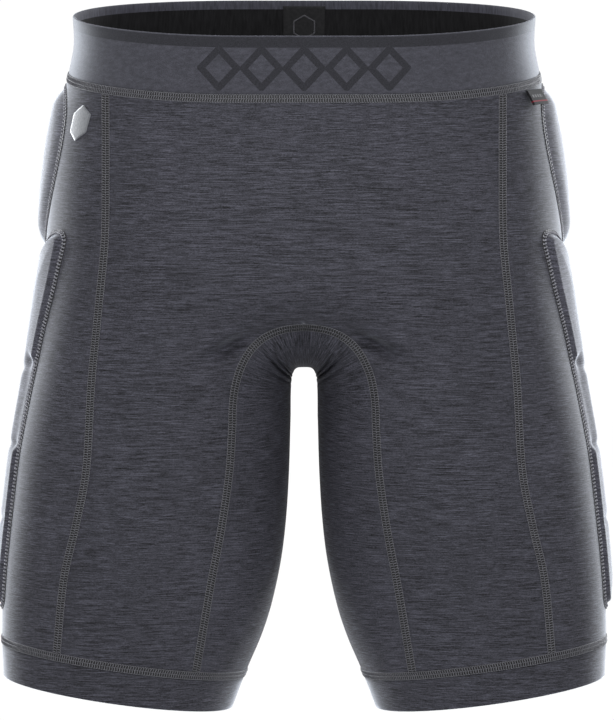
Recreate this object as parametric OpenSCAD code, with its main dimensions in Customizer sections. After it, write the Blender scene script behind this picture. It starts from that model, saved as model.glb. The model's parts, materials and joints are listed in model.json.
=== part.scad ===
// Padded impact shorts, in millimetres. +Z up, +X to the wearer's left, the front faces -Y.
// The origin is the middle of the waist opening, at the top edge of the waistband.

/* [Size] */
// Half width of the body at the top of the waistband
waist_half_width = 161.5; // [150:0.5:172]
// Half width across the seat, at crotch height
seat_half_width = 191; // [184:1:198]
// Outer half width at the leg hems
hem_half_width = 211; // [204:1:218]
// Length from the waistband's top edge to the hems
outseam = 474; // [470:1:484]
// Height of the crotch below the waistband's top edge
crotch_drop = 246; // [243:1:249]
// Half of the gap between the legs, just below the crotch
leg_gap = 9; // [8:0.5:10]

/* [Cloth] */
// Height of the elastic waistband
band_height = 40; // [36:1:42]
// Height of the turned hem band
hem_height = 28; // [24:1:32]
// Thickness of the knitted panels
cloth = 1.2; // [1:0.1:1.4]
// Thickness of the elastic waistband
elastic = 1.8; // [1.6:0.1:2.2]
// Width of a flatlock seam
seam_width = 5; // [4:0.5:6]
// How far a flatlock seam's thread stands above the cloth
seam_rise = 0.5; // [0.3:0.1:0.7]

/* [Pads] */
// How far the hip pad pushes its cover out
hip_rise = 7; // [6:0.5:8]
// How far the thigh pad pushes its cover out
thigh_rise = 5; // [4.5:0.5:6]
// How far the tailbone pad pushes its cover out
tail_rise = 6; // [5:0.5:7]
// How far every pad sits inside the line of the cloth
pad_sink = 4; // [3:0.5:5]
// Thickness of the mesh lining behind a pad
lining = 0.8; // [0.6:0.1:1]
// Width of the edging sewn round each pad cover
edging_width = 3.5; // [3:0.5:4.5]

/* [Labels] */
// Width of the label at the middle of the back
back_label_width = 30; // [24:1:36]
// Width of the folded side label
side_label_width = 26; // [20:1:28]
// Size of the hexagon printed on the right hip
print_size = 25; // [20:1:27]

/* [Hidden] */

gap = 0.2;                       // air between neighbouring cloth edges
half_seam = seam_width / 2;
waist_seam_h = -band_height;     // heights h are measured along the body, and fall from 0
hem_seam_h = -(outseam - hem_height);
panel_top = waist_seam_h - seam_width - gap;
panel_low = hem_seam_h + gap;
arch_h = -213;                   // top of the gusset's arch
arch_foot_h = -280;              // where the arch becomes a straight inner leg seam
arch_foot_x = 49.5;

// Stations down the body: [height, value]
half_width = [[0, waist_half_width], [-20, 160.8], [-38, 164], [-80, 172], [-120, 177.5], [-167, 181],
    [-205, 185], [-crotch_drop, seat_half_width], [-303, 201], [-346, 206], [-400, 210.5], [-446, 212],
    [-outseam, hem_half_width]];
leg_axis = [[0, 40], [-38, 45], [-120, 70], [-185, 92], [-246, 100], [-320, 106], [-400, 117],
    [-446, 126], [-outseam, 131]];
half_gap = [[0, -60], [-185, -30], [-215, -14], [-240, 2], [-252, leg_gap - 0.6], [-280, leg_gap + 0.4],
    [-320, 10.6], [-350, 12.6], [-375, 16], [-402, 22.5], [-422, 29.5], [-446, 40], [-outseam, 50.5]];
front_depth = [[0, 98], [-38, 100], [-120, 108], [-185, 108], [-246, 98], [-320, 92], [-400, 86],
    [-446, 82], [-outseam, 80]];
back_depth = [[0, 104], [-38, 108], [-120, 126], [-185, 128], [-246, 110], [-320, 95], [-400, 86],
    [-446, 82], [-outseam, 80]];
side_seam_x = [[-38, 137], [-100, 136.5], [-150, 137], [-200, 141.5], [-250, 146.5], [-312, 150.5],
    [-352, 158], [-390, 166], [-446, 171.5]];
back_seam_x = [[-38, 110], [-100, 106], [-150, 112], [-200, 124], [-250, 136], [-312, 146],
    [-390, 160], [-446, 167]];
inner_seam_x = [[-280, 49.5], [-312, 51.5], [-350, 57], [-390, 65], [-446, 75]];

// A smooth curve through stations, by cubic Hermite spans
function slope(s, i) =
    let (lo = max(i - 1, 0), hi = min(i + 1, len(s) - 1)) (s[hi][1] - s[lo][1]) / (s[hi][0] - s[lo][0]);
function span(h, s) = max([for (i = [0 : len(s) - 2]) if (i == 0 || h <= s[i][0]) i]);
function along(h, s) =
    let (i = span(h, s), w = s[i + 1][0] - s[i][0], t = (h - s[i][0]) / w,
         t2 = t * t, t3 = t2 * t)
    (2 * t3 - 3 * t2 + 1) * s[i][1] + (t3 - 2 * t2 + t) * w * slope(s, i)
    + (3 * t2 - 2 * t3) * s[i + 1][1] + (t3 - t2) * w * slope(s, i + 1);
function clamp01(v) = min(1, max(0, v));
function ease(v) = let (t = clamp01(v)) t * t * (3 - 2 * t);
function mix(a, b, t) = a + (b - a) * t;

// The waist dips at the front and the hems lie square to the splayed legs.
function lean(x, y, h) =
    (1 - ease((-h - 38) / 170)) * (0.093 * y - 0.00019 * y * y)
    + 0.14 * ease((-h - 320) / 130) * (abs(x) - along(h, leg_axis));
function place(x, y, h) = [x, y, h + lean(x, y, h)];

// Depth of the front or back at (x, h) as a share of the full depth there: a trunk that curves
// under to the crotch, blending into two legs. d is the distance outside the cloth's face.
function trunk(x, cx, h) =
    let (under = sqrt(1 - pow(clamp01((-h - 170) / (crotch_drop - 170 + 4)), 2)))
    under + (1 - under) * pow(sin(90 * clamp01(x / cx)), 2);
function arc_share(u) = sqrt(max(0, 1 - u * u));
function share(x, h, d) =
    let (cx = along(h, leg_axis), g = along(h, half_gap),
         a = along(h, half_width) - cx + d, legs = ease((-h - 190) / 50))
    x >= cx ? arc_share((x - cx) / a)
    : mix(trunk(x, cx, h), arc_share((cx - x) / (cx - g + d)), legs);
function cleft(x, h) = 1 - 0.05 * exp(-pow(x / 22, 2)) * ease((-h - 60) / 70) * (1 - ease((-h - 200) / 40));
function front(x, h, d) = place(x, -(along(h, front_depth) + d) * share(abs(x), h, d), h);
function back(x, h, d) = place(x, (along(h, back_depth) + d) * share(abs(x), h, d) * cleft(x, h), h);

// The outside of a leg or hip, by angle: 0 faces front, 90 outward and 180 back
function side(angle, h, d) =
    let (cx = along(h, leg_axis), a = along(h, half_width) - cx + d,
         b = (angle < 90 ? along(h, front_depth) : along(h, back_depth)) + d)
    place(cx + a * sin(angle), -b * cos(angle), h);
function seam_angle(h, d, x) =
    let (cx = along(h, leg_axis)) asin((x - cx) / (along(h, half_width) - cx + d));

// The gusset's edge in front view, and its innermost line: an arch, then down the inner leg.
// t runs from 0 at the middle of the arch to 1 at the arch's foot and 2 at the hem seam.
function arch(t, half, top, power) =
    [half * pow(sin(90 * t), 2 / power), arch_foot_h + (top - arch_foot_h) * pow(cos(90 * t), 2 / power)];
function leg_h(t) = mix(arch_foot_h, panel_low, t - 1);
function edge_line(t) =
    t < 1 ? arch(t, arch_foot_x, arch_h, 2.5) : [along(leg_h(t), inner_seam_x), leg_h(t)];
function inner_line(t, d) =
    t < 1 ? arch(t, along(arch_foot_h, half_gap) - d, -crotch_drop - d, 4.2)
    : [along(leg_h(t), half_gap) - d, leg_h(t)];
function shifted_edge(t, shift) =
    let (e = 0.02, p = edge_line(t), q = edge_line(min(t + e, 2)), r = edge_line(max(t - e, 0)),
         v = q - r, n = [-v[1], v[0]] / norm(v))
    [max(0, p[0] + n[0] * shift), max(panel_low, p[1] + n[1] * shift)];
function gusset_point(t, w, d, shift) =
    let (e = shifted_edge(t, -shift), f = front(e[0], e[1], d), b = back(e[0], e[1], d),
         i2 = inner_line(t, d),
         mid = (f + b) / 2, i = place(i2[0], mid[1], i2[1]),
         low = mix(30, 35, clamp01(t)), turn = mix(low, 180 - low, w))
    mid + (f - b) / 2 * cos(turn) / cos(low) + (i - mid) * (sin(turn) - sin(low)) / (1 - sin(low));

// Solids from grids: a sheet between two point grids of the same size
function flat_list(rows) = [for (r = rows) each r];
module sheet(upper, lower) {
    n = len(upper);
    m = len(upper[0]);
    o = n * m;
    polyhedron(concat(flat_list(upper), flat_list(lower)), concat(
        [for (i = [0 : n - 2], j = [0 : m - 2]) each [
            [i * m + j, i * m + j + 1, (i + 1) * m + j + 1],
            [i * m + j, (i + 1) * m + j + 1, (i + 1) * m + j],
            [o + i * m + j, o + (i + 1) * m + j + 1, o + i * m + j + 1],
            [o + i * m + j, o + (i + 1) * m + j, o + (i + 1) * m + j + 1]]],
        [for (i = [0 : n - 2], j = [0, m - 1])
            let (a = i * m + j, b = (i + 1) * m + j)
            each j == 0 ? [[a, b, o + b], [a, o + b, o + a]] : [[a, o + b, b], [a, o + a, o + b]]],
        [for (j = [0 : m - 2], i = [0, n - 1])
            let (a = i * m + j, b = i * m + j + 1)
            each i == 0 ? [[a, o + b, b], [a, o + a, o + b]] : [[a, b, o + b], [a, o + b, o + a]]]));
}

// A closed ring between an outer and an inner grid, each row running all the way round
module ring(outer, inner) {
    n = len(outer);
    m = len(outer[0]);
    o = n * m;
    polyhedron(concat(flat_list(outer), flat_list(inner)), concat(
        [for (i = [0 : n - 2], j = [0 : m - 1])
            let (k = (j + 1) % m, a = i * m + j, b = i * m + k, c = a + m, e = b + m)
            each [[a, b, e], [a, e, c], [o + a, o + e, o + b], [o + a, o + c, o + e]]],
        [for (j = [0 : m - 1], i = [0, n - 1])
            let (a = i * m + j, b = i * m + (j + 1) % m)
            each i == 0 ? [[a, o + b, b], [a, o + a, o + b]] : [[a, b, o + b], [a, o + b, o + a]]]));
}

// Booleans on sheets are kept as meshes.
module meshed() {
    resize([0, 0, 0]) children();
}
module both_sides() {
    children();
    mirror([1, 0, 0]) children();
}

// Heights of the rows between two levels
function levels(top, low, n) = [for (i = [0 : n]) mix(top, low, i / n)];

function trunk_row(h, d, n) = concat(
    [for (i = [0 : n - 1]) front(along(h, leg_axis) * i / n, h, d)],
    [for (i = [0 : 2 * n]) side(90 * i / n, h, d)],
    [for (i = [n - 1 : -1 : 0]) back(along(h, leg_axis) * i / n, h, d)]);
function flip(p) = [-p[0], p[1], p[2]];
function trunk_ring(h, d, n) =
    let (half = trunk_row(h, d, n), k = len(half))
    concat(half, [for (i = [k - 2 : -1 : 1]) flip(half[i])]);
function leg_ring(h, d, n) =
    let (cx = along(h, leg_axis), out = along(h, half_width) - cx + d, in = cx - along(h, half_gap) + d,
         f = along(h, front_depth) + d, b = along(h, back_depth) + d)
    [for (i = [0 : n - 1]) let (t = 360 * i / n, s = sin(t), c = cos(t))
        place(cx + (s > 0 ? out : in) * s, -(c > 0 ? f : b) * c, h)];

module waistband() {
    color("dimgray")
        ring([for (h = levels(0, waist_seam_h + gap, 3)) trunk_ring(h, 0, 7)],
             [for (h = levels(0, waist_seam_h + gap, 3)) trunk_ring(h, -elastic, 7)]);
}
module waist_seam() {
    color("gray")
        ring([for (h = [waist_seam_h, waist_seam_h - seam_width]) trunk_ring(h, seam_rise, 7)],
             [for (h = [waist_seam_h, waist_seam_h - seam_width]) trunk_ring(h, -cloth, 7)]);
}

// Neighbouring edges share their rows, so that the gap between them stays even.
trunk_rows = 9;
arch_rows = 8;
body_rows = trunk_rows + 2 * arch_rows;

// Half of the front or back: columns run from the middle line, then the gusset's edge, to the side seam.
function middle(i) =
    i < trunk_rows ? [0, mix(panel_top, arch_h + half_seam + gap, i / trunk_rows)]
    : shifted_edge((i - trunk_rows) / arch_rows, half_seam + gap);
function outer_edge(i, seam) =
    let (h = mix(panel_top, panel_low, i / body_rows)) [along(h, seam) - half_seam - gap, h];
function panel_grid(is_front, d) =
    let (columns = 7, seam = is_front ? side_seam_x : back_seam_x)
    [for (i = [0 : body_rows]) [for (j = [0 : columns])
        let (p = mix(middle(i), outer_edge(i, seam), j / columns))
        is_front ? front(p[0], p[1], d) : back(p[0], p[1], d)]];
module half_panel(is_front, d, t) {
    if (is_front) sheet(panel_grid(true, d), panel_grid(true, d - t));
    else sheet(panel_grid(false, d - t), panel_grid(false, d));
}
module front_panel() {
    color("slategray") meshed() both_sides() half_panel(true, 0, cloth);
}
module back_panel() {
    color("slategray") meshed() difference() {
        both_sides() half_panel(false, 0, cloth);
        tail_prism(edging_width + gap);
    }
}

// The side panel lies between the front and back side seams.
function side_grid(d, top, low, rows, columns, shift) =
    [for (h = levels(top, low, rows))
        let (a = seam_angle(h, d, along(h, side_seam_x) + shift),
             b = 180 - seam_angle(h, d, along(h, back_seam_x) + shift))
        [for (j = [0 : columns]) side(mix(a, b, j / columns), h, d)]];
module side_slab(outer, inner) {
    shift = half_seam + gap;
    sheet(side_grid(outer, panel_top, panel_low, body_rows, 11, shift),
          side_grid(inner, panel_top, panel_low, body_rows, 11, shift));
}
module side_panel() {
    color("slategray") meshed() difference() {
        side_slab(0, -cloth);
        hip_prism(edging_width + gap);
        thigh_prism(edging_width + gap);
    }
}
module gusset() {
    function grid(d) = [for (i = [-2 * arch_rows : 2 * arch_rows]) [for (j = [0 : 9])
        let (p = gusset_point(abs(i) / arch_rows, j / 9, d, half_seam + gap)) i < 0 ? flip(p) : p]];
    color("darkslategray") sheet(grid(-cloth), grid(0));
}

// Flatlock seams down the body
module side_seam(is_front) {
    seam = is_front ? side_seam_x : back_seam_x;
    function strip(d) = [for (h = levels(panel_top, panel_low, body_rows)) [for (k = [-1, 1])
        let (x = along(h, seam) + k * half_seam) is_front ? front(x, h, d) : back(x, h, d)]];
    color("gray")
        if (is_front) sheet(strip(seam_rise), strip(-cloth));
        else sheet(strip(-cloth), strip(seam_rise));
}
module gusset_seam(is_front) {
    function strip(d) = [for (i = [-2 * arch_rows : 2 * arch_rows]) [for (k = [-1, 1])
        let (e = shifted_edge(abs(i) / arch_rows, k * half_seam),
             p = is_front ? front(e[0], e[1], d) : back(e[0], e[1], d))
        i < 0 ? flip(p) : p]];
    color("gray")
        if (is_front) sheet(strip(-cloth), strip(seam_rise));
        else sheet(strip(seam_rise), strip(-cloth));
}

module hem_band() {
    low_h = -outseam;
    top_h = hem_seam_h - seam_width - gap;
    color("slategray")
        ring([for (h = levels(top_h, low_h, 2)) leg_ring(h, 0, 40)],
             [for (h = levels(top_h, low_h, 2)) leg_ring(h, -2 * cloth, 40)]);
}
module hem_seam() {
    color("gray")
        ring([for (h = [hem_seam_h, hem_seam_h - seam_width]) leg_ring(h, seam_rise, 40)],
             [for (h = [hem_seam_h, hem_seam_h - seam_width]) leg_ring(h, -cloth, 40)]);
}

// Pad outlines, drawn in side view as [y, z] and in back view as [x, z]
hip_outline = [[-9, -51], [-25, -66], [-29, -88], [-25, -114], [-14, -138], [6, -157], [44, -171],
    [78, -161], [90, -114], [80, -66], [46, -51]];
thigh_outline = [[-57, -150], [-48, -186], [-34, -220], [-25, -255], [-20, -300], [-18, -350],
    [-15, -412], [56, -412], [62, -340], [64, -260], [60, -192], [2, -169], [-40, -150]];
tail_outline = [[-46, -62], [-54, -100], [-34, -170], [0, -192], [34, -170], [54, -100], [46, -62]];

module rounded(outline, r, grow) {
    offset(delta = grow) offset(r = r) offset(delta = -r) polygon(outline);
}
// Prisms of the outlines: sideways from the middle of the leg, and backwards from the waist's middle
module side_prism(outline, r, grow) {
    translate([70, 0, 0]) rotate([90, 0, 90]) linear_extrude(180) rounded(outline, r, grow, $fn = 16);
}
module hip_prism(grow) {
    side_prism(hip_outline, 10, grow);
}
module thigh_prism(grow) {
    side_prism(thigh_outline, 9, grow);
}
module tail_prism(grow) {
    rotate([90, 0, 0]) translate([0, 0, -240]) linear_extrude(220)
        rounded(tail_outline, 16, grow, $fn = 16);
}

// The body's surface as a layer from one depth to another, under each pad
module hip_layer(outer, inner) {
    sheet(side_grid(outer, -44, -184, 6, 7, -8), side_grid(inner, -44, -184, 6, 7, -8));
}
module thigh_layer(outer, inner) {
    sheet(side_grid(outer, -138, -436, 9, 7, -8), side_grid(inner, -138, -436, 9, 7, -8));
}
function back_grid(d) = [for (h = levels(-62, -206, 6)) [for (j = [-4 : 4]) back(j * 15.5, h, d)]];
module tail_layer(outer, inner) {
    sheet(back_grid(inner), back_grid(outer));
}

// A pad's sub-parts. layer and outline pick which pad: 0 hip, 1 thigh, 2 tailbone.
module layer(pad, outer, inner) {
    if (pad == 0) hip_layer(outer, inner);
    if (pad == 1) thigh_layer(outer, inner);
    if (pad == 2) tail_layer(outer, inner);
}
module outline(pad, grow) {
    if (pad == 0) hip_prism(grow);
    if (pad == 1) thigh_prism(grow);
    if (pad == 2) tail_prism(grow);
}
rise = [hip_rise, thigh_rise, tail_rise];
lining_floor = -pad_sink - gap - 0.1;

// The cover is a dish of cloth open to the inside.
module cover(pad) {
    color("lightslategray") meshed() difference() {
        intersection() {
            layer(pad, rise[pad], -cloth);
            outline(pad, 0);
        }
        intersection() {
            layer(pad, rise[pad] - cloth, -cloth - 5);
            outline(pad, -cloth);
        }
    }
}
// The edging is a raised binding sewn along the join between the cover and the panel.
module edging(pad) {
    color("darkgray") meshed() difference() {
        intersection() {
            layer(pad, 1.5, -cloth);
            outline(pad, edging_width);
        }
        outline(pad, gap);
        if (pad == 0) outline(1, edging_width + gap);
    }
}
module pad(pad) {
    color("orange") meshed() intersection() {
        layer(pad, rise[pad] - cloth - gap - 0.1, -pad_sink);
        outline(pad, -cloth - 1.5);
    }
}
// The lining is a mesh dish behind the pad, with a flange sewn to the back of the cloth.
module pad_lining(pad) {
    color("black") meshed() difference() {
        intersection() {
            layer(pad, -cloth - gap, lining_floor - lining);
            outline(pad, edging_width);
        }
        intersection() {
            layer(pad, 0, lining_floor);
            outline(pad, 0);
        }
        difference() {
            layer(pad, -cloth - gap - lining, lining_floor - lining - 3);
            outline(pad, lining);
        }
    }
}

// A small printed hexagon on the wearer's right hip
print_h = -68;
print_angle = 61;
module hip_print() {
    at = side(print_angle, print_h, 0);
    color("gainsboro") meshed() mirror([1, 0, 0]) intersection() {
        sheet([for (h = levels(-50, -86, 6)) [for (a = levels(50, 72, 6)) side(a, h, 0.5)]],
              [for (h = levels(-50, -86, 6)) [for (a = levels(50, 72, 6)) side(a, h, 0.1)]]);
        translate(at) rotate([0, 0, -34]) rotate([90, 0, 90]) translate([0, 0, -20]) linear_extrude(40)
            rotate(30) circle(r = print_size / 2, $fn = 6);
    }
}

// The woven patch inside the middle of the back waistband
module back_label() {
    function grid(d) = [for (h = levels(-4, -34, 3)) [for (j = [-3 : 3]) back(j * back_label_width / 6, h, d)]];
    color("black") sheet(grid(-elastic - gap - 0.6), grid(-elastic - gap));
}

// A folded woven loop that hangs from the waist seam and stands a little off the wearer's left hip
label_angle = 69;
label_h = panel_top - 1;
label_drop = 12;
label_thick = 1.3;
label_lean = 31;
module side_label() {
    at = side(label_angle, label_h, 0.4 + label_thick);
    run = side(label_angle + 1, label_h, 0) - side(label_angle - 1, label_h, 0);
    wall = 0.45;
    color("lightgray") translate(at) rotate([0, 0, atan2(run[1], run[0])]) rotate([-label_lean, 0, 0])
        translate([-side_label_width / 2, 0, 0]) rotate([90, 0, 90]) linear_extrude(side_label_width)
            difference() {
                translate([-label_thick, -label_drop]) square([label_thick, label_drop]);
                translate([wall - label_thick, wall - label_drop])
                    square([label_thick - 2 * wall, label_drop - 3]);
            }
}

module left() {
    children();
}
module right() {
    mirror([1, 0, 0]) children();
}
waistband();
waist_seam();
back_label();
side_label();
hip_print();
front_panel();
back_panel();
left() side_panel();  // side_panel_left
right() side_panel();  // side_panel_right
gusset();
left() side_seam(true);  // front_seam_left
right() side_seam(true);  // front_seam_right
left() side_seam(false);  // back_seam_left
right() side_seam(false);  // back_seam_right
gusset_seam(true);  // gusset_seam_front
gusset_seam(false);  // gusset_seam_back
left() hem_band();  // hem_band_left
right() hem_band();  // hem_band_right
left() hem_seam();  // hem_seam_left
right() hem_seam();  // hem_seam_right
left() cover(0);  // hip_cover_left
right() cover(0);  // hip_cover_right
left() edging(0);  // hip_edging_left
right() edging(0);  // hip_edging_right
left() pad(0);  // hip_pad_left
right() pad(0);  // hip_pad_right
left() pad_lining(0);  // hip_lining_left
right() pad_lining(0);  // hip_lining_right
left() cover(1);  // thigh_cover_left
right() cover(1);  // thigh_cover_right
left() edging(1);  // thigh_edging_left
right() edging(1);  // thigh_edging_right
left() pad(1);  // thigh_pad_left
right() pad(1);  // thigh_pad_right
left() pad_lining(1);  // thigh_lining_left
right() pad_lining(1);  // thigh_lining_right
cover(2);  // tail_cover
edging(2);  // tail_edging
pad(2);  // tail_pad
pad_lining(2);  // tail_lining
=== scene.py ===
"""Padded impact shorts: knit panels, stitching, pads and finish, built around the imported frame.

Lengths are in millimetres until a mesh is made. Heights h are measured down the cloth from the
waistband's top edge and fall from 0; d is a distance outside the cloth's outer face.
"""

import json
import math

import bmesh
import bpy
import numpy as np
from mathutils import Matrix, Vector
from mathutils.geometry import delaunay_2d_cdt
from mathutils.kdtree import KDTree


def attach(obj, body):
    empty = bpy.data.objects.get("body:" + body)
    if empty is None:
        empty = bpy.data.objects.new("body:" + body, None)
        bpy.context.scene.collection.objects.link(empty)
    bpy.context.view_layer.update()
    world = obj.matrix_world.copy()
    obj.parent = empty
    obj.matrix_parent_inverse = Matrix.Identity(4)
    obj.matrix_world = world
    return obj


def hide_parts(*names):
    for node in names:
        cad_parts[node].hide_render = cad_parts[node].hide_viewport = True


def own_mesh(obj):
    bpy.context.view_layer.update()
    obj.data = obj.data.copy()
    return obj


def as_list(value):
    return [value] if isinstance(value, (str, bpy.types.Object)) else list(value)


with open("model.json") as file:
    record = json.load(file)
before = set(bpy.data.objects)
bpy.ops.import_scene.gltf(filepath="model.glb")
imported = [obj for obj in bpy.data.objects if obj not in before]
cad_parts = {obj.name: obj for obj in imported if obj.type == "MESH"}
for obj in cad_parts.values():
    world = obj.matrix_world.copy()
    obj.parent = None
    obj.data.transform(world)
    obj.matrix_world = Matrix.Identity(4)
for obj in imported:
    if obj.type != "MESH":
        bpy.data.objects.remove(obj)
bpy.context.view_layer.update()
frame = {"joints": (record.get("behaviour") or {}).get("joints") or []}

# ---------------------------------------------------------------- sizes

BAND, ELASTIC = 40.0, 1.8
OUTSEAM, HEM = 474.0, 28.0
CLOTH, SEAM, GAP = 1.2, 5.0, 0.2
CROTCH, ARCH, ARCH_FOOT, ARCH_FOOT_X = -246.0, -213.0, -280.0, 49.5
PANEL_TOP = -BAND - SEAM - GAP
HEM_SEAM = HEM - OUTSEAM
PANEL_LOW = HEM_SEAM + GAP
PAD_SINK = 4.0
PITCH = 1.75  # between a flat seam's cross threads
STRIP = SEAM / 2 + 0.12
EDGE_ROOM = SEAM / 2 + GAP
SIM_STEP, PRESSURE, MOST_RISE = 4.5, 4.0, 1.8  # the covers' cloth: point spacing, pressure, cap


def curve(*stations):
    """A smooth curve through (height, value) stations, by cubic Hermite spans."""
    h, v = np.array(sorted(stations), float).T
    low = np.maximum(np.arange(len(h)) - 1, 0)
    high = np.minimum(np.arange(len(h)) + 1, len(h) - 1)
    m = (v[high] - v[low]) / (h[high] - h[low])

    def at(x):
        x = np.asarray(x, float)
        i = np.clip(np.searchsorted(h, x, side="right") - 1, 0, len(h) - 2)
        w = h[i + 1] - h[i]
        t = np.clip((x - h[i]) / w, -0.3, 1.3)
        t2, t3 = t * t, t * t * t
        return (
            (2 * t3 - 3 * t2 + 1) * v[i]
            + (t3 - 2 * t2 + t) * w * m[i]
            + (3 * t2 - 2 * t3) * v[i + 1]
            + (t3 - t2) * w * m[i + 1]
        )

    return at


half_width = curve(
    (0, 161.5), (-20, 160.8), (-38, 164), (-80, 172), (-120, 177.5), (-167, 181), (-205, 185), (-246, 191),
    (-303, 201), (-346, 206), (-400, 210.5), (-446, 212), (-OUTSEAM, 211),
)
leg_axis = curve(
    (0, 40), (-38, 45), (-120, 70), (-185, 92), (-246, 100), (-320, 106), (-400, 117),
    (-446, 126), (-OUTSEAM, 131),
)
half_gap = curve(
    (0, -60), (-185, -30), (-215, -14), (-240, 2), (-252, 8.4), (-280, 9.4), (-320, 10.6),
    (-350, 12.6), (-375, 16), (-402, 22.5), (-422, 29.5), (-446, 40), (-OUTSEAM, 50.5),
)
front_depth = curve(
    (0, 98), (-38, 100), (-120, 108), (-185, 108), (-246, 98), (-320, 92), (-400, 86),
    (-446, 82), (-OUTSEAM, 80),
)
back_depth = curve(
    (0, 104), (-38, 108), (-120, 126), (-185, 128), (-246, 110), (-320, 95), (-400, 86),
    (-446, 82), (-OUTSEAM, 80),
)
front_seam_x = curve(
    (-38, 137), (-100, 136.5), (-150, 137), (-200, 141.5), (-250, 146.5), (-312, 150.5),
    (-352, 158), (-390, 166), (-446, 171.5),
)
back_seam_x = curve(
    (-38, 110), (-100, 106), (-150, 112), (-200, 124), (-250, 136), (-312, 146),
    (-390, 160), (-446, 167),
)
inner_seam_x = curve((-280, 49.5), (-312, 51.5), (-350, 57), (-390, 65), (-446, 75))


def ease(v):
    t = np.clip(v, 0, 1)
    return t * t * (3 - 2 * t)


def mix(a, b, t):
    return a + (b - a) * t


def bump(v, centre, width):
    return np.exp(-(((v - centre) / width) ** 2))


# ---------------------------------------------------------------- the body's surface


def lean(x, y, h):
    """The waist dips at the front and the hems lie square to the splayed legs."""
    tilt = (1 - ease((-h - 38) / 170)) * (0.093 * y - 0.00019 * y * y)
    return tilt + 0.14 * ease((-h - 320) / 130) * (np.abs(x) - leg_axis(h))


def place(x, y, h):
    x, y, h = np.broadcast_arrays(x, y, h)
    return np.stack([x, y, h + lean(x, y, h)], -1)


def arc_share(u):
    return np.sqrt(np.maximum(0, 1 - u * u))


def share(x, h, d):
    """Depth at (x, h) as a share of the full depth: a trunk that blends into two legs."""
    cx, g = leg_axis(h), half_gap(h)
    a = half_width(h) - cx + d
    under = arc_share(np.clip((-h - 170) / (-CROTCH - 166), 0, 1))
    trunk = under + (1 - under) * np.sin(math.pi / 2 * np.clip(x / cx, 0, 1)) ** 2
    legs = arc_share(np.clip((cx - x) / (cx - g + d), -1, 1))
    inside = mix(trunk, legs, ease((-h - 190) / 50))
    return np.where(x >= cx, arc_share(np.clip((x - cx) / a, -1, 1)), inside)


def groin(x, h):
    """The fold where each leg meets the crotch, and the faint pull lines above it."""
    x = np.abs(x)
    along = (x - 51) * 0.88 - (h + 225) * 0.47
    off = (x - 51) * 0.47 + (h + 225) * 0.88
    fold = 13.0 * bump(along, 0, 18) * bump(off, 0, 5.5)
    pull = 0.5 * np.sin(off / 3.1) * bump(along, 0, 30) * bump(off, 26, 22)
    return -fold + pull


def front(x, h, d):
    x, h = np.broadcast_arrays(np.asarray(x, float), np.asarray(h, float))
    depth = (front_depth(h) + d) * share(np.abs(x), h, d) + groin(x, h)
    return place(x, -depth, h)


def back(x, h, d):
    x, h = np.broadcast_arrays(np.asarray(x, float), np.asarray(h, float))
    cleft = 1 - 0.05 * bump(x, 0, 22) * ease((-h - 60) / 70) * (1 - ease((-h - 200) / 40))
    return place(x, (back_depth(h) + d) * share(np.abs(x), h, d) * cleft, h)


def side(angle, h, d):
    """The outside of a leg or hip. Angle 0 faces front, a quarter turn faces outward."""
    cx = leg_axis(h)
    b = np.where(np.cos(angle) > 0, front_depth(h), back_depth(h)) + d
    return place(cx + (half_width(h) - cx + d) * np.sin(angle), -b * np.cos(angle), h)


def seam_angle(h, d, x):
    cx = leg_axis(h)
    return np.arcsin(np.clip((x - cx) / (half_width(h) - cx + d), -1, 1))


def on_side(y, z, d):
    """The point of the side surface at depth y and height z."""
    h = np.array(z, float)
    for _ in range(10):
        cx = leg_axis(h)
        b = np.where(y < 0, front_depth(h), back_depth(h)) + d
        x = cx + (half_width(h) - cx + d) * arc_share(np.clip(y / b, -1, 1))
        h = z - lean(x, y, h)
    return np.stack([x, np.broadcast_to(y, x.shape), np.broadcast_to(z, x.shape)], -1)


def on_back(x, z, d):
    """The point of the back surface at x and height z."""
    h = np.array(z, float)
    for _ in range(10):
        p = back(x, h, d)
        h = h + z - p[..., 2]
    return back(x, h, d)


def arch(t, half, top, power):
    t = np.clip(t, 0, 1) * math.pi / 2
    rise = np.maximum(np.cos(t), 0) ** (2 / power)
    return half * np.sin(t) ** (2 / power), ARCH_FOOT + (top - ARCH_FOOT) * rise


def leg_h(t):
    return mix(ARCH_FOOT, PANEL_LOW, t - 1)


def edge_line(t):
    """The gusset's edge: t runs from the middle of the arch, past its foot at 1, to the hem at 2."""
    ax, ah = arch(t, ARCH_FOOT_X, ARCH, 2.5)
    h = leg_h(np.maximum(t, 1))
    return np.stack([np.where(t < 1, ax, inner_seam_x(h)), np.where(t < 1, ah, h)], -1)


def inner_line(t, d):
    ax, ah = arch(t, half_gap(ARCH_FOOT) - d, CROTCH - d, 4.2)
    h = leg_h(np.maximum(t, 1))
    return np.stack([np.where(t < 1, ax, half_gap(h) - d), np.where(t < 1, ah, h)], -1)


def shifted_edge(t, shift):
    t = np.asarray(t, float)
    v = edge_line(np.minimum(t + 0.02, 2)) - edge_line(np.maximum(t - 0.02, 0))
    n = np.stack([-v[..., 1], v[..., 0]], -1) / np.linalg.norm(v, axis=-1, keepdims=True)
    p = edge_line(t) + n * shift
    return np.maximum(p[..., 0], 0), np.maximum(p[..., 1], PANEL_LOW)


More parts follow.
